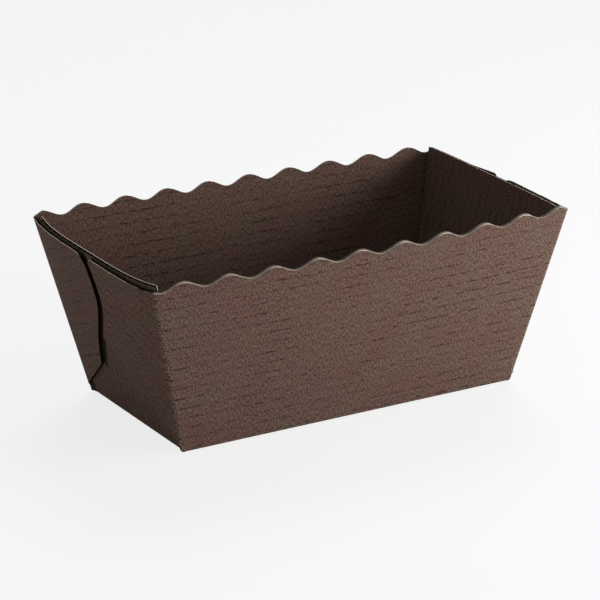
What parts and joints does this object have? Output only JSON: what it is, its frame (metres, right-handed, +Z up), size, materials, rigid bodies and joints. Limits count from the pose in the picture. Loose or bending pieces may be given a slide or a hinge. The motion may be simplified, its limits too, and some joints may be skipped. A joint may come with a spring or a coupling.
{
  "type": "paper loaf pan",
  "caption": "Folded fluted-card loaf pan with leaning walls, scalloped long rims, straight-topped end panels and curved glued corner flaps.",
  "frame": {"origin": "middle of the underside of the floor, on the surface that the pan stands on", "axes": "+X along the pan, -Y towards the front long wall, +Z up"},
  "size_m": [0.1315, 0.0719, 0.0515],
  "materials": {
    "card": "matt brown fluted card with pale cut edges"
  },
  "bodies": {
    "root": {"pan": "card"}
  },
  "joints": []
}
